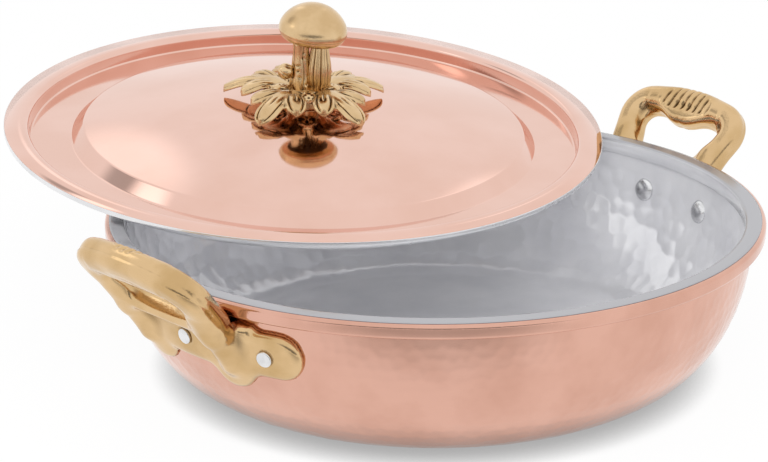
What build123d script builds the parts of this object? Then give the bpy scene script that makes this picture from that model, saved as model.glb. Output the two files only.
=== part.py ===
from build123d import *
import math
import os

# Deep copper pan with its lid leaning on the rim.
# Millimetres, +Z up, origin at the centre of the base's underside, handles along X.

# Pan
rim_radius = 158.0
pan_height = 76.0
base_radius = 107.0
rim_width = 6.0
rim_height = 7.0
rim_lip = 1.7
rim_seam = 0.6
rim_round = 1.8
mouth_round = 1.2
copper_thickness = 1.8
tin_thickness = 0.3
tin_edge_inset = 2.0

# Handle plate, against the wall; drops are measured down from the underside of the rim
plate_width = 126.0
plate_thickness = 4.0
tongue_height = 23.0
tongue_drop = 16.5
lobe_radius = 11.0
lobe_offset = 26.0
lobe_drop = 9.5
plate_top_drop = 6.0
plate_bottom_drop = 27.0
plate_corner = 4.0

# Handle loop, leaning out over the rim; both handles sit this many degrees towards the front
handle_skew = 1.25
loop_lean = 42.0
loop_out = 9.5
loop_root_rise = 4.5
loop_reach = 28.5
loop_shoulder_drop = 6.8
leg_half_gap = 29.0
leg_splay = 7.5
leg_overlap = 7.0
bar_width = 12.2
bar_depth = 11.8
shoulder_round = 11.0
crown_round = 90.0
belly_length = 46.0
belly_sag = 6.0
belly_depth = 10.5
belly_height = 9.0
neck_foot_drop = 20.0
neck_knee_out = 9.0
neck_knee_drop = 8.0
neck_half_width = 10.0
neck_flare = 1.0
web_half_width = 22.0
web_foot_drop = 12.0
web_top_drop = 1.5
rim_clearance = 1.5
flute_count = 7
flute_radius = 1.6
flute_depth = 0.8
flute_pitch = 4.4
flute_slant = 20.0

# Rivets
rivet_inset = 18.5
rivet_radius = 3.0
inner_head_radius = 6.2
inner_head_height = 3.2
outer_head_radius = 3.8
outer_head_height = 1.0

# Lid, measured from the top of its flange
lid_inset = 3.8
lid_copper = 1.2
lid_tin = 0.3
spigot_clearance = 5.4
spigot_depth = 8.3
shoulder_radius = 3.0
groove_radius = 1.2
ring_width = 21.3
dome_step = 6.0
dome_edge_drop = 2.4
dome_rise = 10.5
hem_width = 2.5
hem_height = 2.9

# Where the lid lies: its centre, and how it tips
lid_shift_x = 15.5
lid_shift_y = 114.5
lid_tilt = 5.8
lid_tilt_azimuth = -101.8
lid_gap = 0.4

# Knob, measured from the top of the dome
knob_turn = -42.1
hub_radius = 14.6
hub_height = 7.0
leaf_count = 5
leaf_azimuth = 24.0
leaf_reach = 47.0
leaf_thickness = 2.6
leaf_crest = 11.0
leaf_crest_radius = 24.0
leaf_tip_gap = 3.5
leaf_root_rise = 5.0
leaf_root_thickness = 8.0
leaf_root_length = 26.0
main_lobe_length = 28.0
main_lobe_width = 14.0
side_lobe_root = 10.0
side_lobe_length = 27.0
side_lobe_width = 11.2
side_lobe_turn = 38.0
stem_x = -2.0
stem_foot_radius = 6.4
stem_waist_radius = 4.5
stem_height = 26.5
cap_offset = 6.6
cap_radius = 17.6
cap_crown = 14.2
cap_shoulder_radius = 10.0
cap_skirt = 5.4
cap_skirt_bulge = 3.4
cap_foot_radius = 11.2
cap_tilt = 6.0
bud_stem_gap = 0.7
bud_radius = 5.7
bud_foot_radius = 3.0
bud_tip_radius = 3.2
bud_rib_count = 9
bud_groove_radius = 0.8
berry_azimuth = 200.0
berry_radius = 4.2
berry_sink = 0.5
berry_rise = 17.0
stud_radius = 2.0
stud_depth = 13.0
stud_end = 1.0
nut_across_flats = 7.0
nut_height = 3.2
washer_radius = 6.0
washer_thickness = 1.0

# Clearances
seat_gap = 0.05
hole_clearance = 0.05

# Worked out from the above
wall_radius = rim_radius - rim_width
wall_top = pan_height - rim_height
rim_top = pan_height - tin_thickness
lining = copper_thickness + tin_thickness
mouth_radius = wall_radius - lining - rim_lip
tongue_rise = wall_top - tongue_drop
plate_body_top = wall_top - plate_top_drop
plate_body_bottom = wall_top - plate_bottom_drop
plate_body_width = 2 * (leg_half_gap + neck_half_width)
loop_half_width = leg_half_gap + leg_splay
back_turn = -handle_skew
front_turn = 180.0 + handle_skew
lid_sheet = lid_copper + lid_tin
lid_radius = rim_radius - lid_inset
spigot_radius = mouth_radius - spigot_clearance - lid_sheet
ring_inner_radius = spigot_radius - ring_width
dome_radius = ring_inner_radius - dome_step
dome_height = dome_rise + dome_edge_drop
dome_ball_radius = (dome_height**2 + dome_radius**2) / (2 * dome_height)
far = 2 * rim_radius


def turned(edges):
    """Solid of revolution about Z of a closed outline drawn as (radius, height)."""
    return revolve(Plane.XZ * make_face(edges), Axis.Z)


def drilled(radius, bottom, top, x=0.0, y=0.0):
    """Upright cylinder between two heights."""
    return Pos(x, y, (bottom + top) / 2) * Cylinder(radius, top - bottom)


def wall_arc(inset, drop=0.0):
    """Quarter ellipse from the base to the top of the wall, moved inwards by inset."""
    across = wall_radius - base_radius - inset
    up = wall_top - drop - inset
    return EllipticalCenterArc((base_radius, wall_top - drop), across, up, start_angle=270, arc_size=90)


def wall_space(inset):
    """Everything inside the wall's outer surface moved inwards by inset, open above."""
    radius = wall_radius - inset
    sides = Polyline((radius, wall_top), (radius, far), (0, far), (0, inset), (base_radius, inset))
    return turned([wall_arc(inset), sides])


def pan_body():
    """Copper sheet: flat base, bowl-shaped wall and an edge rolled outwards into a hollow rim."""
    wall_inner = wall_radius - copper_thickness
    lip = wall_inner - rim_lip
    curl_low = wall_top + copper_thickness
    curl_high = rim_top - copper_thickness
    curl_out = rim_radius - copper_thickness
    curl_in = wall_radius + rim_seam
    rim = FilletPolyline(
        (wall_radius, wall_top),
        (wall_radius, curl_high),
        (curl_out, curl_high),
        (curl_out, curl_low),
        (curl_in, curl_low),
        (curl_in, wall_top),
        (rim_radius, wall_top),
        (rim_radius, rim_top),
        (lip, rim_top),
        (lip, wall_top),
        (wall_inner, wall_top),
        radius=(0, 0, 0, 0, 0, rim_round, rim_round, mouth_round, 0),
    )
    floor = Line((base_radius, copper_thickness), (0, copper_thickness))
    axis = Polyline((0, copper_thickness), (0, 0), (base_radius, 0))
    shell = turned([axis, wall_arc(0), rim, wall_arc(copper_thickness), floor])
    return shell - rivet_holes(back_turn) - rivet_holes(front_turn)


def pan_tin_lining():
    """Tin wiped over the inside, under and up the rim's lip and across its top."""
    wall_tin = wall_radius - lining
    lip = mouth_radius + tin_thickness
    edge = rim_radius - tin_edge_inset
    inside = FilletPolyline(
        (wall_tin, wall_top - tin_thickness),
        (mouth_radius, wall_top - tin_thickness),
        (mouth_radius, pan_height),
        (edge, pan_height),
        radius=(0, mouth_round + tin_thickness),
    )
    back = FilletPolyline(
        (edge, pan_height),
        (edge, rim_top),
        (lip, rim_top),
        (lip, wall_top),
        (wall_radius - copper_thickness, wall_top),
        radius=(0, mouth_round, 0),
    )
    floor = Polyline(
        (base_radius, copper_thickness), (0, copper_thickness), (0, lining), (base_radius, lining)
    )
    skin = turned([wall_arc(lining, tin_thickness), inside, back, wall_arc(copper_thickness), floor])
    return skin - rivet_holes(back_turn) - rivet_holes(front_turn)


def rivet_places(turn):
    """The three rivet axes of the handle at the given turn, pointing straight out of the wall."""
    lean = math.acos(1 - tongue_rise / wall_top)
    radius = base_radius + (wall_radius - base_radius) * math.sin(lean)
    spread = math.degrees(math.asin((plate_width / 2 - rivet_inset) / radius))
    out = math.sin(lean) / (wall_radius - base_radius)
    down = math.cos(lean) / wall_top
    places = []
    for step in (-1, 0, 1):
        aim = Plane(origin=(radius, 0, tongue_rise), x_dir=(0, 1, 0), z_dir=(out, 0, -down))
        places.append(Rot(0, 0, turn + step * spread) * aim.location)
    return places


def rivet_holes(turn):
    """Holes for the shanks."""
    length = 2 * (lining + plate_thickness + inner_head_radius)
    return [place * Cylinder(rivet_radius + hole_clearance, length) for place in rivet_places(turn)]


def rivet_group(turn):
    """Three rivets, each a shank with a domed head inside and a small head on the plate."""
    inner_face = lining + seat_gap
    outer_face = seat_gap + plate_thickness + seat_gap
    inside = wall_space(inner_face)
    outside = wall_space(-outer_face)
    head_ball = (inner_head_radius**2 + inner_head_height**2) / (2 * inner_head_height)
    rivets = []
    for place in rivet_places(turn):
        shank = Cylinder(rivet_radius, inner_face + outer_face + inner_head_height / 2)
        shank = Pos(0, 0, (outer_face - inner_face) / 2) * shank
        ball = Pos(0, 0, head_ball - inner_head_height - inner_face) * Sphere(head_ball)
        inner = ball & Pos(0, 0, -inner_head_radius) * Cylinder(inner_head_radius, 2 * inner_head_radius)
        blank = Pos(0, 0, outer_face) * Cylinder(outer_head_radius, 2 * outer_head_height)
        outer = fillet(blank.edges().group_by(Axis.Z)[-1], outer_head_height / 2)
        rivets.append(place * shank + ((place * inner) & inside) + (place * outer - outside))
    return Compound(children=[rivet.solid() for rivet in rivets])


def plate_outline():
    """Front view of the plate: a long tongue for the rivets with two lobes under it."""
    tongue = SlotOverall(plate_width, tongue_height)
    body_height = plate_body_top - plate_body_bottom
    body_centre = (plate_body_top + plate_body_bottom) / 2 - tongue_rise
    outline = tongue + Pos(0, body_centre) * Rectangle(plate_body_width, body_height)
    for side in (-1, 1):
        outline += Pos(side * lobe_offset, -lobe_drop) * Circle(lobe_radius)
    notch = [corner for corner in outline.vertices() if abs(corner.X) < lobe_offset]
    return Pos(0, tongue_rise) * fillet(notch, plate_corner)


def across_x(outline):
    """Front-view outline carried out along X through the handle's wall side."""
    return Pos(base_radius, 0, 0) * extrude(Plane.YZ * outline, far)


def loop_plane():
    """The plane the loop lies in: local x along the rim, local y up and out."""
    lean = math.radians(loop_lean)
    origin = (rim_radius + loop_out, 0, wall_top + loop_root_rise)
    return Plane(origin=origin, x_dir=(0, 1, 0), z_dir=(math.cos(lean), 0, -math.sin(lean)))


def loop_bar():
    """Two legs and the grip as one bent bar, thickened downwards in the middle of the grip."""
    shoulder = loop_reach - loop_shoulder_drop
    path = loop_plane() * FilletPolyline(
        (-leg_half_gap, -leg_overlap),
        (-loop_half_width, shoulder),
        (0, loop_reach),
        (loop_half_width, shoulder),
        (leg_half_gap, -leg_overlap),
        radius=(shoulder_round, crown_round, shoulder_round),
    )
    start = Plane(origin=path @ 0, x_dir=loop_plane().z_dir, z_dir=path % 0)
    bar = sweep(start * Ellipse(bar_depth / 2, bar_width / 2), path)
    half = belly_length / 2
    end_rise = loop_reach - loop_shoulder_drop * half / loop_half_width
    low = loop_reach - (bar_width - belly_height) / 2 - belly_sag
    under = loop_plane() * ThreePointArc((-half, end_rise), (0, low), (half, end_rise))
    belly_start = Plane(origin=under @ 0, x_dir=loop_plane().z_dir, z_dir=under % 0)
    return bar + sweep(belly_start * Ellipse(belly_depth / 2, belly_height / 2), under)


def grip_flutes():
    """Slanted grooves across the crown of the grip."""
    crown = loop_reach + bar_width / 2 + flute_radius - flute_depth
    fall = loop_shoulder_drop / loop_half_width
    flutes = []
    for index in range(flute_count):
        along = (index - (flute_count - 1) / 2) * flute_pitch
        place = Pos(along, crown - abs(along) * fall, 0) * Rot(0, flute_slant, 0)
        flutes.append(loop_plane() * place * Cylinder(flute_radius, 2 * bar_depth))
    return flutes


def handle_neck():
    """Two legs that swell out of the plate, pass under the rim and rise to the loop, and the web between."""
    lean = math.radians(loop_lean)
    root_x = rim_radius + loop_out
    root_z = wall_top + loop_root_rise
    half = bar_depth / 2 + neck_flare
    outer = (root_x + half * math.cos(lean), root_z - half * math.sin(lean))
    inner = (root_x - half * math.cos(lean), root_z + half * math.sin(lean))
    rim_side = rim_radius + rim_clearance
    face = wall_radius + plate_thickness
    deep = wall_radius - plate_thickness
    foot = wall_top - neck_foot_drop
    under_rim = [(rim_side, wall_top), (face, wall_top - 2 * rim_clearance), (deep, plate_body_top)]
    knee = (face + neck_knee_out, wall_top - neck_knee_drop)
    leg_side = Polyline((deep, foot), (face, foot), knee, outer, inner, *under_rim, (deep, foot))
    web_foot = wall_top - web_foot_drop
    web_top = wall_top - web_top_drop
    web_side = Polyline(
        (deep, web_foot),
        (face, web_foot),
        (outer[0] - rim_clearance, web_top - rim_clearance),
        (outer[0] - 2 * rim_clearance, web_top),
        (rim_side, web_top),
        *under_rim[1:],
        (deep, web_foot),
    )
    legs = extrude(Plane.XZ * make_face(leg_side), 2 * loop_half_width, both=True)
    web = extrude(Plane.XZ * make_face(web_side), web_half_width, both=True)
    front = Sketch()
    for side in (-1, 1):
        outline = Polyline(
            (side * (leg_half_gap - neck_half_width), foot),
            (side * (leg_half_gap + neck_half_width), foot),
            (side * (leg_half_gap + bar_width / 2 + neck_flare), inner[1]),
            (side * (leg_half_gap - bar_width / 2), inner[1]),
            (side * (leg_half_gap - neck_half_width), foot),
        )
        front += make_face(outline)
    return (legs & across_x(front)) + web


def handle():
    """One casting: the curved plate, the neck and the loop, drilled for its rivets."""
    plate = across_x(plate_outline()) & wall_space(-seat_gap - plate_thickness)
    loop = loop_bar() - grip_flutes()
    casting = plate + handle_neck() + loop - wall_space(-seat_gap)
    return (casting - rivet_holes(0)).solid()


def lid_line(depth):
    """Half section of the lid's sheet, depth below its top face, from the axis to the edge."""
    dome_edge = (dome_radius, -dome_edge_drop - depth)
    half = dome_radius / 2
    middle = dome_rise - depth - (dome_ball_radius - math.sqrt(dome_ball_radius**2 - half**2))
    dome = ThreePointArc((0, dome_rise - depth), (half, middle), dome_edge)
    steps = FilletPolyline(
        dome_edge,
        (ring_inner_radius - depth / 2, -spigot_depth - depth),
        (spigot_radius + depth, -spigot_depth - depth),
        (spigot_radius + depth, -depth),
        (lid_radius, -depth),
        radius=(groove_radius + depth, groove_radius + depth, shoulder_radius - depth),
    )
    return [dome, steps]


def lid_section(high, low):
    """Solid of the sheet between two depths."""
    edge = Line((lid_radius, -high), (lid_radius, -low))
    axis = Line((0, dome_rise - low), (0, dome_rise - high))
    return turned([*lid_line(high), edge, *lid_line(low), axis])


def stud_bore(top):
    """Hole along the lid's axis for the stud, up to the given height."""
    return drilled(stud_radius + hole_clearance, -far, top)


def lid_edge_wrap(top, bottom):
    """Thin ring of tin round the edge of the flange."""
    return drilled(lid_radius, bottom, top) - drilled(lid_radius - lid_tin, -far, far)


def lid_shell():
    """Spun copper: flange, step down into the pan, flat ring, step up and low dome."""
    return lid_section(0, lid_copper) - stud_bore(far) - lid_edge_wrap(lid_copper, -spigot_depth)


def lid_tin_lining():
    """Tin under the sheet, with a hem that stiffens the flange and wraps its edge."""
    hem = drilled(lid_radius, -hem_height, -lid_copper) - drilled(lid_radius - hem_width, -far, far)
    sheet = lid_section(lid_copper, lid_sheet)
    return sheet + hem + lid_edge_wrap(-lid_tin, -lid_copper) - stud_bore(far)


def dome_ball(gap):
    """Sphere that the top of the dome follows, gap above it, in the knob's frame."""
    return Pos(0, 0, -dome_ball_radius) * Sphere(dome_ball_radius + gap)


def leaf_band():
    """Arched sheet that every leaf is cut from: out of the hub, over a crest and down to the tips."""
    tip_rise = leaf_tip_gap - leaf_reach**2 / (2 * dome_ball_radius)
    low_root = (0, leaf_root_rise - leaf_root_thickness)
    low_tip = (leaf_reach, tip_rise)
    high_tip = (leaf_reach + leaf_thickness, tip_rise)
    lower = ThreePointArc(low_root, (leaf_crest_radius, leaf_crest - leaf_thickness), low_tip)
    upper = ThreePointArc((0, leaf_root_rise), (leaf_crest_radius, leaf_crest), high_tip)
    return turned([lower, Line(low_tip, high_tip), upper, Line((0, leaf_root_rise), low_root)])


def leaf_outline():
    """Plan of one leaf along +X: a long middle lobe and a pair of side lobes."""
    root = Pos(leaf_root_length / 2, 0) * Ellipse(leaf_root_length / 2, main_lobe_width / 2)
    main_lobe = Ellipse(main_lobe_length / 2, main_lobe_width / 2)
    outline = root + Pos(leaf_reach - main_lobe_length / 2, 0) * main_lobe
    for side in (-1, 1):
        lobe = Pos(side_lobe_length / 2, 0) * Ellipse(side_lobe_length / 2, side_lobe_width / 2)
        outline += Pos(side_lobe_root, 0) * Rot(0, 0, side * side_lobe_turn) * lobe
    return outline


def leaf_rosette():
    """Hub seated on the dome, with the leaves cast round it and a flat top for the stem and bud."""
    band = leaf_band()
    rosette = drilled(hub_radius, -hub_height, hub_height)
    for index in range(leaf_count):
        turn = leaf_azimuth + index * 360 / leaf_count
        rosette += extrude(Rot(0, 0, turn) * leaf_outline(), far, both=True) & band
    seat = drilled(hub_radius, hub_height, far)
    return (rosette - seat - dome_ball(seat_gap) - stud_bore(far)).solid()


def cap_place():
    """Frame of the cap: centre of its widest circle, tipped down to the right."""
    rise = hub_height + seat_gap + stem_height + cap_skirt
    return Pos(stem_x + cap_offset, 0, rise) * Rot(0, cap_tilt, 0)


def above_cap_seat():
    """Everything above the cap's flat underside, less the gap that seats it."""
    return cap_place() * Pos(0, 0, far - cap_skirt - seat_gap) * Box(far, far, 2 * far)


def stem_space(grow):
    """The stem's turned form, grown sideways by the given amount, taller than it is needed."""
    foot = hub_height + seat_gap
    top = foot + stem_height + cap_skirt
    middle = foot + stem_height / 2
    waist = stem_waist_radius + grow
    flare = stem_foot_radius - stem_waist_radius
    side = ThreePointArc((waist + flare, foot), (waist + flare / 4, (foot + middle) / 2), (waist, middle))
    body = turned([side, Polyline((waist, middle), (waist, top), (0, top), (0, foot), (waist + flare, foot))])
    return Pos(stem_x, 0, 0) * body


def mushroom_stem():
    """Stem that stands on the hub, waisted, under the cap."""
    return stem_space(0) - above_cap_seat() - stud_bore(stud_depth + hole_clearance)


def mushroom_cap():
    """Domed cap with a turned-in skirt, seated on the stem and the bud."""
    shoulder_x = cap_radius - cap_shoulder_radius
    ball = (shoulder_x**2 + cap_crown**2 - cap_shoulder_radius**2) / (2 * (cap_crown - cap_shoulder_radius))
    share = ball / (ball - cap_shoulder_radius)
    touch = (shoulder_x * share, cap_crown - ball + (ball - cap_crown) * share)
    shoulder = TangentArc((cap_radius, 0), touch, tangent=(0, 1))
    crown = TangentArc(touch, (0, cap_crown), tangent=shoulder % 1)
    bulge = ((cap_radius + cap_foot_radius + cap_skirt_bulge) / 2, -cap_skirt_bulge)
    skirt = ThreePointArc((cap_foot_radius, -cap_skirt), bulge, (cap_radius, 0))
    base = Polyline((0, cap_crown), (0, -cap_skirt), (cap_foot_radius, -cap_skirt))
    return cap_place() * turned([skirt, shoulder, crown, base])


def fluted_bud():
    """Closed bud beside the stem, grooved from foot to tip."""
    foot = hub_height + seat_gap
    top = foot + stem_height
    side = ThreePointArc((bud_foot_radius, foot), (bud_radius, (foot + top) / 2), (bud_tip_radius, top))
    body = turned([side, Polyline((bud_tip_radius, top), (0, top), (0, foot), (bud_foot_radius, foot))])
    path = Plane.XZ * side
    groove = sweep(Plane(origin=path @ 0, z_dir=path % 0) * Circle(bud_groove_radius), path)
    body -= [Rot(0, 0, index * 360 / bud_rib_count) * groove for index in range(bud_rib_count)]
    bud_x = stem_x + stem_waist_radius + bud_stem_gap + bud_radius
    return (Pos(bud_x, 0, 0) * body - above_cap_seat()).solid()


def berry():
    """Small round berry that sits against the stem."""
    reach = stem_waist_radius + berry_radius - berry_sink
    ball = Pos(stem_x, 0, berry_rise) * Rot(0, 0, berry_azimuth) * Pos(reach, 0, 0) * Sphere(berry_radius)
    return ball - stem_space(seat_gap)


def knob_stud():
    """Threaded stud from under the nut up into the stem."""
    bottom = -lid_sheet - 3 * seat_gap - washer_thickness - nut_height - stud_end
    return drilled(stud_radius, bottom, stud_depth)


def knob_washer():
    """Flat washer under the lid."""
    top = -lid_sheet - 2 * seat_gap
    return drilled(washer_radius, top - washer_thickness, top) - stud_bore(far)


def knob_nut():
    """Hexagon nut under the washer."""
    bottom = -lid_sheet - 3 * seat_gap - washer_thickness - nut_height
    blank = extrude(RegularPolygon(nut_across_flats / 2, 6, major_radius=False), nut_height)
    return Pos(0, 0, bottom) * blank - stud_bore(far)


def lid_place():
    """Lid's frame, at the middle of the flange's top: shifted over the rim and tipped towards the pan."""
    offset = math.hypot(lid_shift_x, lid_shift_y)
    foot = spigot_radius + lid_sheet
    chord = (offset**2 + mouth_radius**2 - foot**2) / (2 * offset)
    across = math.sqrt(mouth_radius**2 - chord**2)
    back = math.atan2(lid_shift_y, lid_shift_x) + math.pi
    skew = math.radians(lid_tilt_azimuth) - back
    reach = (offset - chord) * math.cos(skew) + across * abs(math.sin(skew))
    tilt = math.radians(lid_tilt)
    rise = lid_gap + (spigot_depth + lid_sheet) / math.cos(tilt) + reach * math.tan(tilt)
    tip = Rot(0, 0, lid_tilt_azimuth) * Rot(0, lid_tilt, 0) * Rot(0, 0, -lid_tilt_azimuth)
    return Pos(lid_shift_x, lid_shift_y, pan_height + rise) * tip


def main():
    nodes = {
        "pan_body": pan_body(),
        "pan_tin_lining": pan_tin_lining(),
        "back_handle": Rot(0, 0, back_turn) * handle(),
        "front_handle": Rot(0, 0, front_turn) * handle(),
        "back_handle_rivets": rivet_group(back_turn),
        "front_handle_rivets": rivet_group(front_turn),
    }
    lid = {"lid_shell": lid_shell(), "lid_tin_lining": lid_tin_lining()}
    knob = {
        "leaf_rosette": leaf_rosette(),
        "mushroom_stem": mushroom_stem(),
        "mushroom_cap": mushroom_cap(),
        "fluted_bud": fluted_bud(),
        "berry": berry(),
        "knob_stud": knob_stud(),
        "knob_washer": knob_washer(),
        "knob_nut": knob_nut(),
    }
    place = lid_place()
    for name, shape in lid.items():
        nodes[name] = place * shape
    for name, shape in knob.items():
        nodes[name] = place * Pos(0, 0, dome_rise) * Rot(0, 0, knob_turn) * shape
    os.makedirs("parts", exist_ok=True)
    for name, shape in nodes.items():
        export_step(shape, os.path.join("parts", name + ".step"))


main()
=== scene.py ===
import math

import bpy
import numpy as np
from mathutils import Matrix, Vector


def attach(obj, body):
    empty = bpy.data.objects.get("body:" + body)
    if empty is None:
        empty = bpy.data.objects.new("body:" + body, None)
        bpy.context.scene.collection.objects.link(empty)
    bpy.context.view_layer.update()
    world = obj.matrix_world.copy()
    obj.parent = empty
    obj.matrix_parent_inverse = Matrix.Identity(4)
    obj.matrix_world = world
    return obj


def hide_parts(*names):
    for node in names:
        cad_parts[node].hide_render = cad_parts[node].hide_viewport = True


# Deep copper pan with its lid leaning on the rim.
# Shapes are drawn in millimetres, as in the part's source, and become metres when a mesh is made.

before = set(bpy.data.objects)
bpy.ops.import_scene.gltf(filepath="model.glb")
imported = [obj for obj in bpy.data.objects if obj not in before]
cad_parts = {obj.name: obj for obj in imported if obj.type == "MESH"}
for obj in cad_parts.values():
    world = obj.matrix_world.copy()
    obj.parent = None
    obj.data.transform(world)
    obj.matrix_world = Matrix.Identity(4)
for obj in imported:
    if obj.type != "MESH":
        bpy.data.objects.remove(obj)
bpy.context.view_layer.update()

MM = 0.001

# Pan
BASE_RADIUS = 107.0
WALL_RADIUS = 152.0
WALL_TOP = 69.0
RIM_RADIUS = 158.0
RIM_TOP = 75.7
PAN_HEIGHT = 76.0
COPPER = 1.8
TIN = 0.3
LINING = COPPER + TIN
DENT_ROOM = 0.2
RIM_LIP = 1.7
RIM_SEAM = 0.6
RIM_ROUND = 1.8
MOUTH_ROUND = 1.2
TIN_EDGE_INSET = 2.0
WALL_ARC = 92.0

# Hammer marks: their spacing and the radius of the hammer's face
COPPER_MARKS = (5.2, 42.0)
TIN_MARKS = (8.5, 48.0)

# Handles
HANDLE_SKEW = math.radians(1.25)
LOOP_LEAN = math.radians(42.0)
LOOP_OUT = 8.7
LOOP_ROOT_RISE = 4.5
LOOP_REACH = 28.5
SHOULDER_DROP = 6.8
LEG_HALF_GAP = 29.0
LEG_SPLAY = 7.5
LEG_OVERLAP = 7.0
LEG_RADIUS = 6.0
KNEE_IN = 5.5
KNEE_DROP = 6.0
FOOT_RADIUS = 4.6
FOOT_RISE = 47.0
SHOULDER_ROUND = 11.0
CROWN_ROUND = 90.0
DEEP_INSET = 3.4
DEEP_SHIFT = 2.4
PLATE_THICKNESS = 4.0
PLATE_HALF_LENGTH = 63.0
MIDDLE_HALF_LENGTH = 38.0
MIDDLE_HALF_HEIGHT = 10.5
MIDDLE_RISE = 54.0
TONGUE_RISE = 52.5
TONGUE_RADIUS = 11.5
LOBE_RADIUS = 11.0
LOBE_OFFSET = 26.0
LOBE_RISE = 43.0
RIVET_SPREAD = 44.5
RECESS_RADIUS = 4.6
WEB_MIDDLE = -5.5
WEB_RISE = 8.0
BELLY_HALF = 23.0
BELLY_SAG = 9.5
FLUTE_PITCH = 4.3
FLUTE_DEPTH = 1.1
FLUTE_SLANT = math.radians(12.0)
FLUTES_HALF_LENGTH = 18.5
FLUTES_HALF_WIDTH = 7.5
SEAT_GAP = 0.05

# Width, depth and corner radius of the sections that make the loop
BAR_SECTION = (12.0, 12.4, 4.6)
DEEP_SECTION = (11.0, 7.2, 3.4)
BELLY_SECTION = (10.0, 11.0, 4.0)

# Rivets
RIVET_DOME_RADIUS = 6.2
RIVET_DOME_RISE = 3.2
RIVET_SHANK_RADIUS = 3.0
RIVET_HEAD_RADIUS = 3.8
RIVET_HEAD_ROUND = 0.7

# Lid, measured from the top of its flange
LID_RADIUS = 154.2
LID_COPPER = 1.2
LID_SHEET = 1.5
LID_TIN = 0.3
SPIGOT_RADIUS = 141.3
SPIGOT_DEPTH = 8.3
SHOULDER_RADIUS = 3.0
RING_INNER = 120.0
DOME_RADIUS = 114.0
DOME_EDGE_DROP = 2.4
DOME_BEND = 1.2
DOME_RISE = 10.5
DOME_BALL = ((DOME_RISE + DOME_EDGE_DROP) ** 2 + DOME_RADIUS**2) / (2 * (DOME_RISE + DOME_EDGE_DROP))
HEM_WIDTH = 2.5
HEM_HEIGHT = 2.9
STUD_BORE = 2.05

# Knob, measured from the top of the dome
KNOB_TURN = math.radians(-42.1)
STUD_TOP = 13.0
LEAF_COUNT = 5
LEAF_TURN = math.radians(24.0)
LEAF_BASE = 9.0
LEAF_REACH = 45.5
LOBE_WIDEST = 0.7
LOBE_ROOT = 5.0
LOBE_THICKNESS = 1.7
ENGRAVING = 0.8
STEM_X = -3.0
STEM_MARKS = ((6.4, 5.5), (5.9, 9.0), (5.3, 14.0), (4.8, 20.0), (4.3, 27.0), (4.6, 34.2))
STEM_PITS = 60
BUD_X = 6.5
BUD_RADIUS = 5.7
BUD_RIBS = 9
BUD_MARKS = ((4.4, 5.5), (6.0, 10.0), (6.5, 15.0), (6.2, 20.0), (5.0, 27.0), (3.9, 33.6))
BERRY_AZIMUTH = math.radians(200.0)
BERRY_RADIUS = 4.2
BERRY_REACH = 8.2
BERRY_RISE = 17.0
CAP_OFFSET = 5.6
CAP_RISE = 38.8
CAP_TILT = math.radians(6.0)
CAP_RADIUS = 17.6
CAP_CROWN = 14.2
CAP_SHOULDER = 10.0
CAP_INSET = CAP_RADIUS - CAP_SHOULDER
CAP_BALL = (CAP_INSET**2 + CAP_CROWN**2 - CAP_SHOULDER**2) / (2 * (CAP_CROWN - CAP_SHOULDER))
CAP_TOUCH = math.degrees(math.atan2(CAP_BALL - CAP_CROWN, CAP_INSET))

# Lobes of a leaf: turn in degrees, start, length, width, rise and tip rise; a turned one comes as a pair
LEAF_LOBES = (
    (0, 2.0, 33.0, 13.0, 14.0, 3.5),
    (38, 4.0, 22.5, 11.5, 14.0, 7.0),
    (72, 0.0, 14.0, 9.5, 12.0, 7.5),
)

# Blade under the lobes of a leaf: start, length, width, rise and tip rise
BLADE = (-3.0, 25.0, 21.0, 12.5, 8.0)

# Colours painted on: greyer tin on top of the pan's rim, a painted shade, and the dark metal in hollows,
# partly patina and partly painted shade
RIM_TIN_SHADE = (0.37, 0.37, 0.39)
PATINA_AND_SHADE = (0.1, 0.055, 0.02)
PAN_TIN_METALLIC = 0.45

# Metals: colour, shade, least and most roughness, then size of clouds, size and depth of grain in metres
FINISHES = {
    "hammered_copper": ((0.74, 0.43, 0.335), (0.67, 0.375, 0.285), (0.08, 0.14), 0.03, 0.0008, 2e-5),
    "lid_copper": ((0.84, 0.565, 0.48), (0.8, 0.52, 0.43), (0.05, 0.09), 0.05, 0.0008, 4e-6),
    "pan_tin": ((0.93, 0.93, 0.95), (0.84, 0.84, 0.87), (0.1, 0.18), 0.03, 0.0008, 3e-5),
    "lid_tin": ((0.85, 0.85, 0.86), (0.78, 0.78, 0.79), (0.2, 0.3), 0.03, 0.0008, 2e-5),
    # The last colour of the brasses is patina and painted shade in hollows.
    "handle_brass": ((0.72, 0.5, 0.27), (0.6, 0.4, 0.19), (0.12, 0.2), 0.02, 0.0012, 4e-5, PATINA_AND_SHADE),
    "knob_brass": ((0.74, 0.53, 0.3), (0.64, 0.44, 0.23), (0.16, 0.26), 0.012, 0.001, 4e-5, PATINA_AND_SHADE),
    "rivet": ((0.82, 0.82, 0.83), (0.7, 0.7, 0.71), (0.18, 0.28), 0.006, 0.0008, 4e-5),
    "fastener": ((0.75, 0.75, 0.76), (0.66, 0.66, 0.67), (0.2, 0.3), 0.006, 0.0006, 3e-5),
}

# Share of the floor's own glow in what the camera and reflections see of it
FLOOR_GLOW = 0.94

# Direction of the lamp and the two dark cards in front, in degrees, and the lamp's power in watts
FRONT = 228
LAMP_POWER = 16.0

# Camera, in metres, and the focal length for a 36 mm wide sensor
CAMERA_PLACE = (-0.72318, -0.76488, 0.42247)
CAMERA_RIGHT = (0.741103, -0.671368, -0.005611)
CAMERA_UP = (0.220482, 0.235473, 0.946541)
CAMERA_FORWARD = (0.634157, 0.702721, -0.322534)
CAMERA_LENS = 107.81


# Meshes

def make_object(name, points, faces, body):
    """Mesh object from points in millimetres, riding on a body."""
    mesh = bpy.data.meshes.new(name)
    mesh.from_pydata((np.asarray(points) * MM).tolist(), [], faces)
    mesh.validate()
    mesh.shade_smooth()
    piece = bpy.data.objects.new(name, mesh)
    bpy.context.scene.collection.objects.link(piece)
    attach(piece, body)
    return piece


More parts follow.
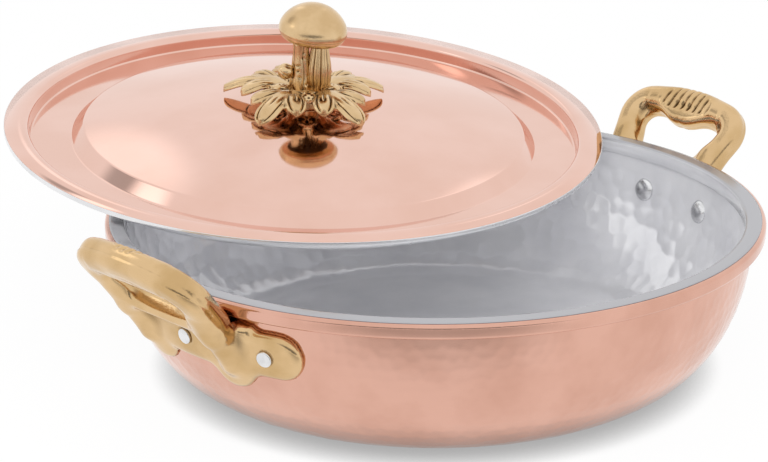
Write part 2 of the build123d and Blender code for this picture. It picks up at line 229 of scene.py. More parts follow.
def arc(centre, radius, start, end, count):
    """Points of a circular arc in the (radius, height) plane, angles in degrees."""
    angles = np.radians(np.linspace(start, end, count))
    return [(centre[0] + radius * math.cos(a), centre[1] + radius * math.sin(a)) for a in angles]


def straight(start, end, step):
    """Evenly spaced points of a straight run, without its last point."""
    count = max(1, int(round(math.dist(start, end) / step)))
    return [(start[0] + (end[0] - start[0]) * i / count, start[1] + (end[1] - start[1]) * i / count)
            for i in range(count)]


def wall_points(inset, step, down=False):
    """Points up the pan's curved wall, moved inwards by inset, about step apart."""
    across = WALL_RADIUS - BASE_RADIUS - inset
    up = WALL_TOP - inset
    angles = np.radians(np.linspace(-90, 0, 721))
    path = np.column_stack([BASE_RADIUS + across * np.cos(angles), WALL_TOP + up * np.sin(angles)])
    along = np.concatenate([[0], np.cumsum(np.linalg.norm(np.diff(path, axis=0), axis=1))])
    count = int(round(along[-1] / step))
    marks = np.linspace(0, along[-1], count + 1)
    points = [(np.interp(m, along, path[:, 0]), np.interp(m, along, path[:, 1])) for m in marks]
    return points[::-1] if down else points


def lathe(outline, steps, dent=None):
    """Points and faces of a closed outline turned about Z; dent moves points along their normals."""
    outline = np.array(outline, float)
    count = len(outline)
    ahead = np.roll(outline, -1, axis=0)
    behind = np.roll(outline, 1, axis=0)
    tangent = ahead - behind
    tangent /= np.linalg.norm(tangent, axis=1)[:, None] + 1e-9
    normal = np.column_stack([tangent[:, 1], -tangent[:, 0]])
    turn = np.linspace(0, 2 * math.pi, steps, endpoint=False)
    radius = np.repeat(outline[:, 0][:, None], steps, axis=1)
    height = np.repeat(outline[:, 1][:, None], steps, axis=1)
    if dent is not None:
        depth = dent(outline, turn)
        radius = radius - normal[:, 0][:, None] * depth
        height = height - normal[:, 1][:, None] * depth
    points = np.stack([radius * np.cos(turn), radius * np.sin(turn), height], axis=2)
    index = np.arange(count * steps).reshape(count, steps)
    poles = np.flatnonzero(outline[:, 0] < 1e-6)
    points = points.reshape(-1, 3)
    for pole in poles:
        index[pole, :] = index[pole, 0]
    faces = []
    for row in range(count):
        after = (row + 1) % count
        low, high = index[row], index[after]
        low_next, high_next = np.roll(low, -1), np.roll(high, -1)
        if row in poles and after in poles:
            continue
        if row in poles:
            faces += list(zip(low.tolist(), high_next.tolist(), high.tolist()))
        elif after in poles:
            faces += list(zip(low.tolist(), low_next.tolist(), high.tolist()))
        else:
            faces += list(zip(low.tolist(), low_next.tolist(), high_next.tolist(), high.tolist()))
    used = np.arange(len(points))
    if len(poles):
        used = np.unique(np.concatenate([np.array(face) for face in faces]))
    renumber = np.full(len(points), -1)
    renumber[used] = np.arange(len(used))
    return points[used], [tuple(renumber[list(face)].tolist()) for face in faces]


def hammered(spacing, ball, low, high, seed):
    """Dent depth of overlapping hammer marks between two distances along the outline."""
    def dent(outline, turn):
        along = np.concatenate([[0], np.cumsum(np.linalg.norm(np.diff(outline, axis=0), axis=1))])
        depth = np.zeros((len(outline), len(turn)))
        rng = np.random.default_rng(seed)
        rows = np.flatnonzero((along > low) & (along < high))
        radius = outline[rows, 0][:, None]
        place_v = (along[rows][:, None] - low) / spacing
        bands = int((high - low) / spacing) + 3
        marks = int(2 * math.pi * WALL_RADIUS / spacing)
        shift_u = rng.uniform(-0.35, 0.35, (bands, marks))
        shift_v = rng.uniform(-0.3, 0.3, (bands, marks))
        lift = rng.uniform(0, 0.25, (bands, marks))
        place_u = turn[None, :] / (2 * math.pi) * marks
        nearest = np.full((len(rows), len(turn)), 9.0)
        for dv in (-1, 0, 1):
            for du in (-1, 0, 1):
                cell_v = np.floor(place_v).astype(int) + dv
                cell_u = np.floor(place_u).astype(int) + du
                row_id = np.clip(cell_v + 1, 0, bands - 1)
                stagger = 0.5 * (row_id % 2)
                col_id = np.mod(cell_u, marks)
                centre_u = cell_u + 0.5 + stagger - 0.25 + shift_u[row_id, col_id]
                centre_v = cell_v + 0.5 + shift_v[row_id, col_id]
                gap_u = (place_u - centre_u) * radius / WALL_RADIUS
                gap_v = place_v - centre_v
                nearest = np.minimum(nearest, gap_u**2 + gap_v**2 + lift[row_id, col_id])
        edge = np.minimum(along[rows] - low, high - along[rows])[:, None]
        fade = np.clip(edge / (2 * spacing), 0, 1)
        deepest = spacing**2 / (2 * ball)
        depth[rows] = deepest * np.clip(0.75 - nearest, 0, None) * fade
        return depth
    return dent


def surface_net(field, low, high, cell):
    """Points and faces of the surface where field is zero, negative inside, over a box of cells."""
    axes = [np.arange(low[k], high[k] + cell, cell) for k in range(3)]
    grid = np.meshgrid(*axes, indexing="ij")
    value = field(*grid).astype(np.float32)
    size = np.array(value.shape) - 1
    total = np.zeros((*size, 3), np.float32)
    count = np.zeros(size, np.float32)
    corners = [(i, j, k) for i in (0, 1) for j in (0, 1) for k in (0, 1)]
    for first in corners:
        for axis in range(3):
            if first[axis]:
                continue
            second = tuple(first[k] + (k == axis) for k in range(3))
            a = value[tuple(slice(first[k], first[k] + size[k]) for k in range(3))]
            b = value[tuple(slice(second[k], second[k] + size[k]) for k in range(3))]
            cross = (a < 0) != (b < 0)
            share = np.where(cross, a / np.where(cross, a - b, 1), 0)
            for k in range(3):
                total[..., k] += np.where(cross, first[k] + (share if k == axis else 0), 0)
            count += cross
    active = count > 0
    index = np.full(size, -1)
    index[active] = np.arange(active.sum())
    corner = np.argwhere(active)
    points = np.array(low) + (corner + total[active] / count[active][:, None]) * cell
    faces = []
    for axis in range(3):
        u, v = [(1, 2), (2, 0), (0, 1)][axis]
        a = value[tuple(slice(0, -1) if k == axis else slice(1, -1) for k in range(3))]
        b = value[tuple(slice(1, None) if k == axis else slice(1, -1) for k in range(3))]
        cross = (a < 0) != (b < 0)
        place = np.argwhere(cross)
        rising = (a < 0)[cross]
        quads = []
        for du, dv in ((0, 0), (1, 0), (1, 1), (0, 1)):
            spot = place.copy()
            spot[:, u] += du
            spot[:, v] += dv
            quads.append(index[spot[:, 0], spot[:, 1], spot[:, 2]])
        quads = np.column_stack(quads)
        quads[~rising] = quads[~rising][:, ::-1]
        faces.append(quads)
    return points, np.concatenate(faces).tolist()


def smooth_points(points, faces, rounds, share=0.5):
    """Evens out a mesh, pulling it in and then pushing it back, so that it doesn't shrink."""
    faces = np.array(faces)
    edges = np.concatenate([faces[:, [k, (k + 1) % 4]] for k in range(4)])
    edges = np.unique(np.sort(edges, axis=1), axis=0)
    degree = np.bincount(edges.ravel(), minlength=len(points))[:, None]
    for step in range(2 * rounds):
        total = np.zeros_like(points)
        np.add.at(total, edges[:, 0], points[edges[:, 1]])
        np.add.at(total, edges[:, 1], points[edges[:, 0]])
        amount = share if step % 2 == 0 else -share * 1.04
        points = points + amount * (total / degree - points)
    return points


# Distance fields, in millimetres, negative inside

def melt(a, b, reach):
    """Union of two fields with a fillet of about the given reach."""
    share = np.clip(0.5 + 0.5 * (b - a) / reach, 0, 1)
    return b + (a - b) * share - reach * share * (1 - share)


def carve(a, b, reach):
    """Field a without field b, with a softened edge."""
    return -melt(-a, b, reach)


def rod(x, y, z, start, end, start_radius, end_radius):
    """Tapered round-ended rod between two points."""
    line = np.array(end) - np.array(start)
    share = ((x - start[0]) * line[0] + (y - start[1]) * line[1] + (z - start[2]) * line[2]) / (line @ line)
    share = np.clip(share, 0, 1)
    gap = np.sqrt((x - start[0] - share * line[0]) ** 2 + (y - start[1] - share * line[1]) ** 2
                  + (z - start[2] - share * line[2]) ** 2)
    return gap - start_radius - share * (end_radius - start_radius)


def wall_gap(x, y, z):
    """Distance out from the pan's wall."""
    flare = WALL_RADIUS - BASE_RADIUS
    across = (np.hypot(x, y) - BASE_RADIUS) / flare
    down = np.clip(WALL_TOP - z, 0, None) / WALL_TOP
    level = np.hypot(across, down)
    slope = np.hypot(across / flare, down / WALL_TOP) / np.maximum(level, 1e-6)
    return (level - 1) / slope


def rounded_path(corners, rounds, step):
    """Points along straight runs joined by tangent arcs, in a plane."""
    corners = [np.array(c, float) for c in corners]
    path = [corners[0]]
    for before, here, after, radius in zip(corners, corners[1:], corners[2:], rounds):
        back = (before - here) / np.linalg.norm(before - here)
        ahead = (after - here) / np.linalg.norm(after - here)
        half = math.acos(np.clip(back @ ahead, -1, 1)) / 2
        middle = (back + ahead) / np.linalg.norm(back + ahead)
        centre = here + middle * radius / math.sin(half)
        start = here + back * radius / math.tan(half)
        end = here + ahead * radius / math.tan(half)
        first = math.atan2(*(start - centre)[::-1])
        turn = math.atan2(*(end - centre)[::-1]) - first
        turn = (turn + math.pi) % (2 * math.pi) - math.pi
        count = max(2, int(abs(turn) * radius / step))
        angles = first + turn * np.linspace(0, 1, count + 1)
        path += [centre + radius * np.array([math.cos(a), math.sin(a)]) for a in angles]
    path.append(corners[-1])
    return np.array(path)


def path_gap(u, v, path):
    """Distance in a plane from a chain of points."""
    best = np.full(u.shape, 1e9)
    for start, end in zip(path, path[1:]):
        line = end - start
        share = np.clip(((u - start[0]) * line[0] + (v - start[1]) * line[1]) / (line @ line + 1e-12), 0, 1)
        best = np.minimum(best, (u - start[0] - share * line[0]) ** 2 + (v - start[1] - share * line[1]) ** 2)
    return np.sqrt(best)


def bar_field(gap, off, width, depth, corner):
    """Rounded-box section swept along a path: gap from the path in its plane, off across it."""
    side = np.maximum(gap - (width / 2 - corner), 0)
    front = np.maximum(np.abs(off) - (depth / 2 - corner), 0)
    inside = np.minimum(np.maximum(gap - width / 2 + corner, np.abs(off) - depth / 2 + corner), 0)
    return np.hypot(side, front) + inside - corner


# Pan

def pan_copper_outline(step):
    """Closed section of the copper: base, wall, rolled rim with its hollow, and the inner face."""
    lip = WALL_RADIUS - COPPER - RIM_LIP
    curl_low, curl_high = WALL_TOP + COPPER, RIM_TOP - COPPER
    curl_out, curl_in = RIM_RADIUS - COPPER, WALL_RADIUS + RIM_SEAM
    rim = RIM_ROUND
    outline = straight((0, 0), (BASE_RADIUS, 0), 8.0)
    outline += wall_points(0, step)
    outline += [(WALL_RADIUS, curl_high), (curl_out, curl_high), (curl_out, curl_low), (curl_in, curl_low)]
    outline += [(curl_in, WALL_TOP)]
    outline += straight((curl_in + 0.4, WALL_TOP), (RIM_RADIUS - rim, WALL_TOP), 1.5)
    outline += arc((RIM_RADIUS - rim, WALL_TOP + rim), rim, -90, 0, 7)
    outline += arc((RIM_RADIUS - rim, RIM_TOP - rim), rim, 0, 90, 7)
    outline += straight((RIM_RADIUS - rim - 0.8, RIM_TOP), (lip + MOUTH_ROUND, RIM_TOP), 1.5)
    outline += arc((lip + MOUTH_ROUND, RIM_TOP - MOUTH_ROUND), MOUTH_ROUND, 90, 180, 5)
    outline += [(lip, WALL_TOP)]
    outline += wall_points(COPPER - DENT_ROOM, 3.0, down=True)
    outline += straight((BASE_RADIUS - 8.0, COPPER - DENT_ROOM), (0, COPPER - DENT_ROOM), 8.0)
    return outline + [(0, COPPER - DENT_ROOM)]


def pan_tin_outline(step):
    """Closed section of the tin: floor, wall, under and up the lip, and across the rim's top."""
    mouth = WALL_RADIUS - LINING - RIM_LIP
    low = WALL_TOP - TIN
    rounding = MOUTH_ROUND + TIN
    edge = RIM_RADIUS - TIN_EDGE_INSET
    outline = straight((0, LINING), (BASE_RADIUS, LINING), 4.0)
    outline += [p for p in wall_points(LINING, step) if p[1] < low - 0.2]
    outline += [(WALL_RADIUS - LINING, low), (mouth + 0.5, low), (mouth, low + 0.3)]
    outline += arc((mouth + rounding, PAN_HEIGHT - rounding), rounding, 180, 90, 8)
    outline += straight((mouth + rounding + 0.8, PAN_HEIGHT), (edge, PAN_HEIGHT), 1.2)
    outline += [(edge, PAN_HEIGHT - 0.1), (edge - 0.1, RIM_TOP)]
    outline += [(mouth + rounding, RIM_TOP)]
    outline += arc((mouth + rounding, PAN_HEIGHT - rounding), MOUTH_ROUND, 90, 180, 5)
    outline += [(mouth + TIN, WALL_TOP), (WALL_RADIUS - COPPER, WALL_TOP)]
    outline += [p for p in wall_points(COPPER, 3.0, down=True) if p[1] < WALL_TOP - 0.5]
    outline += straight((BASE_RADIUS - 8.0, COPPER), (0, COPPER), 8.0)
    return outline + [(0, COPPER)]


def make_pan():
    """Hammered copper body and the hammered tin that lines it."""
    dent = hammered(*COPPER_MARKS, BASE_RADIUS + 6.0, BASE_RADIUS + WALL_ARC, 11)
    points, faces = lathe(pan_copper_outline(1.0), 900, dent)
    copper = make_object("pan_copper", points, faces, "pan")
    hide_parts("pan_body")
    dent = hammered(*TIN_MARKS, BASE_RADIUS + 2.0, BASE_RADIUS + WALL_ARC - 2.0, 23)
    points, faces = lathe(pan_tin_outline(1.2), 720, dent)
    tin = make_object("pan_tin", points, faces, "pan")
    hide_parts("pan_tin_lining")
    return copper, tin


# Lid

def lid_line(depth):
    """Half section of the lid's sheet, depth below its top face, from the axis to the edge."""
    points = []
    for radius in np.linspace(0, DOME_RADIUS - DOME_BEND, 60):
        fall = DOME_BALL - math.sqrt(DOME_BALL**2 - radius**2)
        points.append((radius, DOME_RISE - depth - fall))
    steps = [
        points[-1],
        (DOME_RADIUS, -DOME_EDGE_DROP - depth),
        (RING_INNER - depth / 2, -SPIGOT_DEPTH - depth),
        (SPIGOT_RADIUS + depth, -SPIGOT_DEPTH - depth),
        (SPIGOT_RADIUS + depth, -depth),
        (LID_RADIUS, -depth),
    ]
    turned = rounded_path(steps, (1.5, 1.6 + depth, 1.2 + depth, SHOULDER_RADIUS - depth), 0.35)
    return points[:-1] + [tuple(p) for p in turned]


def lid_copper_outline():
    """Closed section of the lid's copper, open at the stud's hole."""
    top = [p for p in lid_line(0) if STUD_BORE < p[0] < LID_RADIUS - LID_TIN]
    low = [p for p in lid_line(LID_COPPER) if STUD_BORE < p[0] < LID_RADIUS - LID_TIN]
    edge = LID_RADIUS - LID_TIN
    crown = (STUD_BORE, top[0][1])
    return [crown] + top + [(edge, -0.15), (edge, -LID_COPPER)] + low[::-1] + [(STUD_BORE, low[0][1])]


def lid_tin_outline():
    """Closed section of the tin under the lid, with the hem that wraps the flange's edge."""
    top = [p for p in lid_line(LID_COPPER) if STUD_BORE < p[0] < LID_RADIUS - LID_TIN]
    hem = LID_RADIUS - HEM_WIDTH
    low = [p for p in lid_line(LID_SHEET) if STUD_BORE < p[0] < hem]
    edge = LID_RADIUS - LID_TIN
    outline = [(STUD_BORE, low[0][1])] + low
    outline += [(hem, -LID_SHEET), (hem, -HEM_HEIGHT + 0.3), (hem + 0.3, -HEM_HEIGHT)]
    outline += arc((LID_RADIUS - 0.7, -HEM_HEIGHT + 0.7), 0.7, -90, 0, 5)
    outline += [(LID_RADIUS, -LID_TIN - 0.1), (LID_RADIUS - 0.1, -LID_TIN), (edge, -LID_TIN)]
    return outline + [(edge, -LID_COPPER)] + top[::-1] + [(STUD_BORE, top[0][1])]


def lid_matrix():
    """The lid's frame, read from the stud on its axis: the pan's frame tipped the shortest way."""
    stud = np.array([v.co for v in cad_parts["knob_stud"].data.vertices]) / MM
    middle = stud.mean(axis=0)
    axis = np.linalg.svd(stud - middle, full_matrices=False)[2][0]
    axis = axis if axis[2] > 0 else -axis
    reach = (stud - middle) @ axis
    ends = [stud[np.abs(reach - level) < 0.2].mean(axis=0) for level in (reach.min(), reach.max())]
    axis = (ends[1] - ends[0]) / np.linalg.norm(ends[1] - ends[0])
    turn = Vector((0, 0, 1)).rotation_difference(Vector(axis)).to_matrix()
    place = np.eye(4)
    place[:3, :3] = np.array(turn)
    place[:3, 3] = ends[1] - axis * (STUD_TOP + DOME_RISE)
    return place


def placed(points, place):
    """Points carried into another frame."""
    return np.asarray(points) @ place[:3, :3].T + place[:3, 3]


def make_lid(place):
    """Smooth copper lid and its tin lining."""
    points, faces = lathe(lid_copper_outline(), 600)
    copper = make_object("lid_copper", placed(points, place), faces, "lid")
    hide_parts("lid_shell")
    points, faces = lathe(lid_tin_outline(), 480)
    tin = make_object("lid_tin", placed(points, place), faces, "lid")
    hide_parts("lid_tin_lining")
    return copper, tin


# Handles

def loop_frame(x, z):
    """Height in the loop's plane and offset across it, from the point under the rim where it starts."""
    dx = x - RIM_RADIUS - LOOP_OUT
    dz = z - WALL_TOP - LOOP_ROOT_RISE
    up = dx * math.sin(LOOP_LEAN) + dz * math.cos(LOOP_LEAN)
    off = dx * math.cos(LOOP_LEAN) - dz * math.sin(LOOP_LEAN)
    return up, off


def loop_path(inset):
    """Centre line of the loop's bar in its plane, moved into the loop by inset."""
    half = LEG_HALF_GAP + LEG_SPLAY - inset
    shoulder = LOOP_REACH - SHOULDER_DROP - inset
    gap = LEG_HALF_GAP - inset
    corners = [(-gap, -LEG_OVERLAP), (-half, shoulder), (0, LOOP_REACH - inset), (half, shoulder)]
    return rounded_path(corners + [(gap, -LEG_OVERLAP)], (SHOULDER_ROUND, CROWN_ROUND, SHOULDER_ROUND), 1.8)


def loop_field(x, y, z):
    """The bent bar of the legs and the grip, deeper on its outer side, with flutes on its inner face."""
    up, off = loop_frame(x, z)
    bar = bar_field(path_gap(y, up, loop_path(0)), off, *BAR_SECTION)
    deep = bar_field(path_gap(y, up, loop_path(DEEP_INSET)), off - DEEP_SHIFT, *DEEP_SECTION)
    turn = np.clip(np.abs(y) / BELLY_HALF, 0, 1)
    crown = LOOP_REACH - 1.5 - np.abs(y) * SHOULDER_DROP / (LEG_HALF_GAP + LEG_SPLAY)
    middle = crown - BELLY_SAG * 0.5 * (1 + np.cos(math.pi * turn))
    belly = bar_field(np.abs(up - middle) * 0.95, off, *BELLY_SECTION)
    belly = np.maximum(belly, np.abs(y) - BELLY_HALF)
    loop = melt(melt(bar, deep, 3.0), belly, 3.0)
    oval = (y / FLUTES_HALF_LENGTH) ** 2 + ((up - crown + 0.4) / FLUTES_HALF_WIDTH) ** 2
    inside = np.clip(3 * (1 - oval), 0, 1) * np.clip((-off - 1.5) / 2, 0, 1)
    wave = (y + math.tan(FLUTE_SLANT) * (up - LOOP_REACH)) / FLUTE_PITCH
    flutes = FLUTE_DEPTH * (0.5 + 0.5 * np.cos(2 * math.pi * wave)) ** 1.5 * inside
    parting = 0.3 * np.exp(-((off - 1.2) / 0.75) ** 2)
    return loop + flutes + parting


def outline_gap(side, z):
    """Distance from the plate's outline: a long tongue, a middle and two lobes."""
    tongue = np.hypot(np.maximum(np.abs(side) - PLATE_HALF_LENGTH + TONGUE_RADIUS, 0), z - TONGUE_RISE)
    tongue -= TONGUE_RADIUS
    body_u = np.abs(side) - MIDDLE_HALF_LENGTH
    body_v = np.abs(z - MIDDLE_RISE) - MIDDLE_HALF_HEIGHT
    body = np.hypot(np.maximum(body_u, 0), np.maximum(body_v, 0)) + np.minimum(np.maximum(body_u, body_v), 0)
    lobe = np.hypot(np.abs(side) - LOBE_OFFSET, z - LOBE_RISE) - LOBE_RADIUS
    return melt(melt(tongue, body, 6.0), lobe, 6.0)


def handle_field(x, y, z):
    """One brass casting against the wall at +X: plate, legs, web and loop melted together."""
    gap = wall_gap(x, y, z)
    side = np.arctan2(y, x) * WALL_RADIUS
    plate = carve(outline_gap(side, z), PLATE_THICKNESS + 0.35 - gap, 5.5)
    mirrored = np.abs(y)
    root_x = RIM_RADIUS + LOOP_OUT
    root_z = WALL_TOP + LOOP_ROOT_RISE
    knee = (root_x - KNEE_IN, LEG_HALF_GAP, WALL_TOP - KNEE_DROP)
    foot = (WALL_RADIUS - 0.5, LEG_HALF_GAP, FOOT_RISE)
    leg = rod(x, mirrored, z, (root_x + 1.0, LEG_HALF_GAP, root_z), knee, LEG_RADIUS, LEG_RADIUS)
    leg = melt(leg, rod(x, mirrored, z, knee, foot, LEG_RADIUS, FOOT_RADIUS), 3.0)
    flare = rod(x, mirrored, z, knee, (WALL_RADIUS - 1.0, LEG_HALF_GAP - 7.0, 63.0), 5.0, 3.8)
    bend = (knee[0] + 3.2, 0, knee[2] + 3.5)
    upper = rod(x, 0 * y, z, (root_x + 1.6, 0, root_z + 1.5), bend, 4.6, 4.4)
    lower = rod(x, 0 * y, z, bend, (WALL_RADIUS, 0, 64.0), 4.4, 3.4)
    up = loop_frame(x, z)[0]
    edge = WEB_MIDDLE + WEB_RISE * np.clip(mirrored / LEG_HALF_GAP, 0, 1) ** 3
    web = -melt(-np.minimum(upper, lower), edge - up, 3.0)
    web = np.maximum(web, mirrored - LEG_HALF_GAP)
    casting = melt(melt(leg, flare, 4.0), web, 4.0)
    casting = melt(casting, plate, 8.0)
    casting = melt(casting, loop_field(x, y, z), 3.5)
    reach = np.hypot(x, y)
    rim = np.maximum(reach - RIM_RADIUS - 1.2, WALL_TOP - 1.2 - z)
    casting = carve(casting, rim, 1.5)
    for place in rivet_frames():
        local = np.linalg.inv(place)
        u = local[0, 0] * x + local[0, 1] * y + local[0, 2] * z + local[0, 3]
        v = local[1, 0] * x + local[1, 1] * y + local[1, 2] * z + local[1, 3]
        w = local[2, 0] * x + local[2, 1] * y + local[2, 2] * z + local[2, 3]
        dish = np.hypot(u, v) - RECESS_RADIUS
        casting = carve(casting, np.maximum(dish, PLATE_THICKNESS - w), 0.8)
    return np.maximum(casting, SEAT_GAP - gap)


def rivet_frames():
    """Matrices of the back handle's three rivets, Z straight out of the wall."""
    lean = math.acos(1 - TONGUE_RISE / WALL_TOP)
    radius = BASE_RADIUS + (WALL_RADIUS - BASE_RADIUS) * math.sin(lean)
    out = np.array([math.sin(lean) / (WALL_RADIUS - BASE_RADIUS), 0, -math.cos(lean) / WALL_TOP])
    out /= np.linalg.norm(out)
    spread = math.asin(RIVET_SPREAD / radius)
    frames = []
    for step in (-1, 0, 1):
        place = np.eye(4)
        place[:3, 0] = (0, 1, 0)
        place[:3, 1] = np.cross(out, (0, 1, 0))
        place[:3, 2] = out
        place[:3, 3] = (radius, 0, TONGUE_RISE)
        frames.append(np.array(Matrix.Rotation(step * spread, 4, "Z")) @ place)
    return frames


def rivet_outline():
    """Closed section of one rivet: domed head inside the pan, shank, and small head on the plate."""
    inner, outer = -LINING - 0.02, PLATE_THICKNESS + 0.12
    outline = [(0.0, inner - RIVET_DOME_RISE)]
    for share in np.linspace(0.1, 1, 12):
        turn = share * math.pi / 2
        fall = RIVET_DOME_RISE * math.cos(turn) ** 1.1
        outline.append((RIVET_DOME_RADIUS * math.sin(turn), inner - fall))
    outline += [(RIVET_SHANK_RADIUS, inner + 0.1), (RIVET_SHANK_RADIUS, outer - 0.4)]
    outline += [(RIVET_HEAD_RADIUS, outer - 0.2), (RIVET_HEAD_RADIUS, outer + 0.3)]
    outline += arc((RIVET_HEAD_RADIUS - RIVET_HEAD_ROUND, outer + 0.3), RIVET_HEAD_ROUND, 0, 90, 6)
    return outline + [(1.5, outer + 1.0), (0.0, outer + 1.0)]


def make_handles():
    """Both handles and their rivets; the front ones are the back ones turned half round."""
    low = (134.0, -66.0, 24.0)
    high = (200.0, 66.0, 104.0)
    points, faces = surface_net(handle_field, low, high, 0.7)
    points = smooth_points(points, faces, 3)
    rivet_points, rivet_faces = lathe(rivet_outline(), 48)
    made = []
    for name, turn in (("back", -HANDLE_SKEW), ("front", math.pi + HANDLE_SKEW)):
        spin = np.array(Matrix.Rotation(turn, 4, "Z"))
        casting = make_object(name + "_handle_casting", placed(points, spin), faces, "pan")
        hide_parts(name + "_handle")
        mark_patina_and_shade_hollows(casting, 8, 0.5)
        made.append(casting)
        all_points, all_faces = [], []
        for place in rivet_frames():
            shift = sum(len(p) for p in all_points)
            all_points.append(placed(placed(rivet_points, place), spin))
            all_faces += [tuple(i + shift for i in face) for face in rivet_faces]
        rivets = make_object(name + "_rivets", np.concatenate(all_points), all_faces, "pan")
        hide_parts(name + "_handle_rivets")
        made.append(rivets)
    return made


# Knob, in its own frame: origin on top of the dome, Z out of the lid

def leaf_lobe(x, y, z, base, turn, form, engraving=ENGRAVING):
    """One padded lobe that arches out of the hub and curls down to its tip, with engraved lines."""
    length, width, rise, tip_rise = form
    along = (x - base[0]) * math.cos(turn) + (y - base[1]) * math.sin(turn)
    across = (y - base[1]) * math.cos(turn) - (x - base[0]) * math.sin(turn)
    share = np.clip(along / length, 0, 1)
    opening = 0.42 + 0.58 * np.sin(np.clip(share / LOBE_WIDEST, 0, 1) * math.pi / 2)
    beyond = np.clip(share - LOBE_WIDEST, 0, 1) / (1 - LOBE_WIDEST)
    closing = np.sqrt(np.clip(1 - beyond**2.4, 0.004, 1))
    half = width / 2 * opening * closing
    tip = tip_rise - (math.hypot(*base) + length) ** 2 / (2 * DOME_BALL)
    centre = (1 - share) ** 2 * LOBE_ROOT + 2 * share * (1 - share) * rise + share**2 * tip
    slope = (2 * (1 - share) * (rise - LOBE_ROOT) + 2 * share * (tip - rise)) / length
    droop = 0.16 * across**2 / half
    level = (z - centre + droop) / np.sqrt(1 + slope**2)
    body = np.sqrt((across * LOBE_THICKNESS / half) ** 2 + level**2) - LOBE_THICKNESS
    lines = np.exp(-((np.abs(across) - 0.6 * half) / 0.5) ** 2)
    vein = 0.8 * np.exp(-((across / 0.45) ** 2)) * np.clip((0.8 - share) * 6, 0, 1)
    body = body + engraving * np.maximum(lines, vein) * np.clip(share * 8 - 0.6, 0, 1) * (level > 0)
    return np.maximum(body, np.maximum(along - length, -along - 4))


def rosette_field(x, y, z):
    """Five leaves of five lobes each round a low hub, open underneath along the dome."""
    x, y = x[:, :, :1], y[:, :, :1]
    reach = np.hypot(x, y)
    best = np.hypot(np.maximum(reach - 9.0, 0), np.maximum(z - 3.0, 0) * 1.1) - 4.2
    for leaf in range(LEAF_COUNT):
        turn = LEAF_TURN + leaf * 2 * math.pi / LEAF_COUNT
        ray = np.array([math.cos(turn), math.sin(turn)])
        start, *form = BLADE
        leaf_field = leaf_lobe(x, y, z, (LEAF_BASE + start) * ray, turn, form, 0.0)
        for side_turn, start, *form in LEAF_LOBES:
            for side in ((-1, 1) if side_turn else (1,)):
                lobe_turn = turn + side * math.radians(side_turn)
                lobe = leaf_lobe(x, y, z, (LEAF_BASE + start) * ray, lobe_turn, form)
                leaf_field = melt(leaf_field, lobe, 0.5)
        best = melt(best, leaf_field, 0.8)
    over_dome = DOME_BALL + SEAT_GAP - np.sqrt(reach**2 + (z + DOME_BALL) ** 2)
    return np.maximum(best, over_dome)


def profile(marks, step):
    """Smooth outline through (radius, height) marks, about step apart in height."""
    marks = np.array(marks, float)
    count = int(abs(marks[-1, 1] - marks[0, 1]) / step)
    share = np.linspace(0, 1, count + 1)
    eased = np.interp(share, np.linspace(0, 1, len(marks)), np.arange(len(marks)))
    low = np.minimum(eased.astype(int), len(marks) - 2)
    part = eased - low
    padded = np.concatenate([[2 * marks[0] - marks[1]], marks, [2 * marks[-1] - marks[-2]]])
    p0, p1, p2, p3 = padded[low], padded[low + 1], padded[low + 2], padded[low + 3]
    part = part[:, None]
    points = 0.5 * (2 * p1 + (p2 - p0) * part + (2 * p0 - 5 * p1 + 4 * p2 - p3) * part**2
                    + (3 * p1 - p0 - 3 * p2 + p3) * part**3)
    return [tuple(p) for p in points]


def stem_creases(outline, turn):
    """Upright creases and shallow pits of the stem."""
    height = outline[:, 1][:, None]
    crease = np.abs(np.sin(2.5 * turn[None, :] + 0.25 * np.sin(height * 0.3)))
    depth = 0.5 * (1 - crease) ** 3
    rng = np.random.default_rng(5)
    for _ in range(STEM_PITS):
        level = rng.uniform(9, 32)
        angle = rng.uniform(0, 2 * math.pi)
        gap = (turn[None, :] - angle + math.pi) % (2 * math.pi) - math.pi
        spot = ((height - level) ** 2 + (gap * 4.5) ** 2) / rng.uniform(0.15, 0.5)
        depth = depth + 0.3 * np.exp(-spot)
    return depth * (outline[:, 0] > 3)[:, None]


def bud_ribs(outline, turn):
    """Valleys between the bud's ribs and a fine vein along each rib."""
    valley = (1 - np.abs(np.sin(BUD_RIBS / 2 * turn))) ** 2.5
    vein = (1 - np.abs(np.cos(BUD_RIBS / 2 * turn))) ** 8
    return (0.95 * valley + 0.25 * vein)[None, :] * np.clip(outline[:, 0] / BUD_RADIUS, 0, 1)[:, None]


def berry_lobes(outline, turn):
    """Shallow furrows that part the berry into segments."""
    furrow = (1 - np.abs(np.sin(2.5 * turn))) ** 4
    return 0.45 * furrow[None, :] * np.clip(outline[:, 0] / BERRY_RADIUS, 0, 1)[:, None]


def mark_patina_and_shade_hollows(piece, rounds, scale):
    """Stores on the mesh how far each point lies in a hollow, for darker metal there: patina and painted
    shade.
    """
    mesh = piece.data
    points = np.empty(len(mesh.vertices) * 3)
    mesh.vertices.foreach_get("co", points)
    points = points.reshape(-1, 3)
    normals = np.empty(len(mesh.vertices) * 3)
    mesh.vertices.foreach_get("normal", normals)
    normals = normals.reshape(-1, 3)
    edges = np.empty(len(mesh.edges) * 2, dtype=int)
    mesh.edges.foreach_get("vertices", edges)
    edges = edges.reshape(-1, 2)
    degree = np.maximum(np.bincount(edges.ravel(), minlength=len(points)), 1)[:, None]

    def spread(values):
        total = values.copy()
        np.add.at(total, edges[:, 0], values[edges[:, 1]])
        np.add.at(total, edges[:, 1], values[edges[:, 0]])
        return total / (degree + 1)

    smooth = points
    for step in range(rounds):
        smooth = spread(smooth)
    depth = np.clip(((smooth - points) * normals).sum(axis=1, keepdims=True) / (scale * MM), -1, 1)
    depth = spread(depth)
    layer = mesh.attributes.new("hollow", "FLOAT", "POINT")
    layer.data.foreach_set("value", depth.ravel().astype(np.float32))


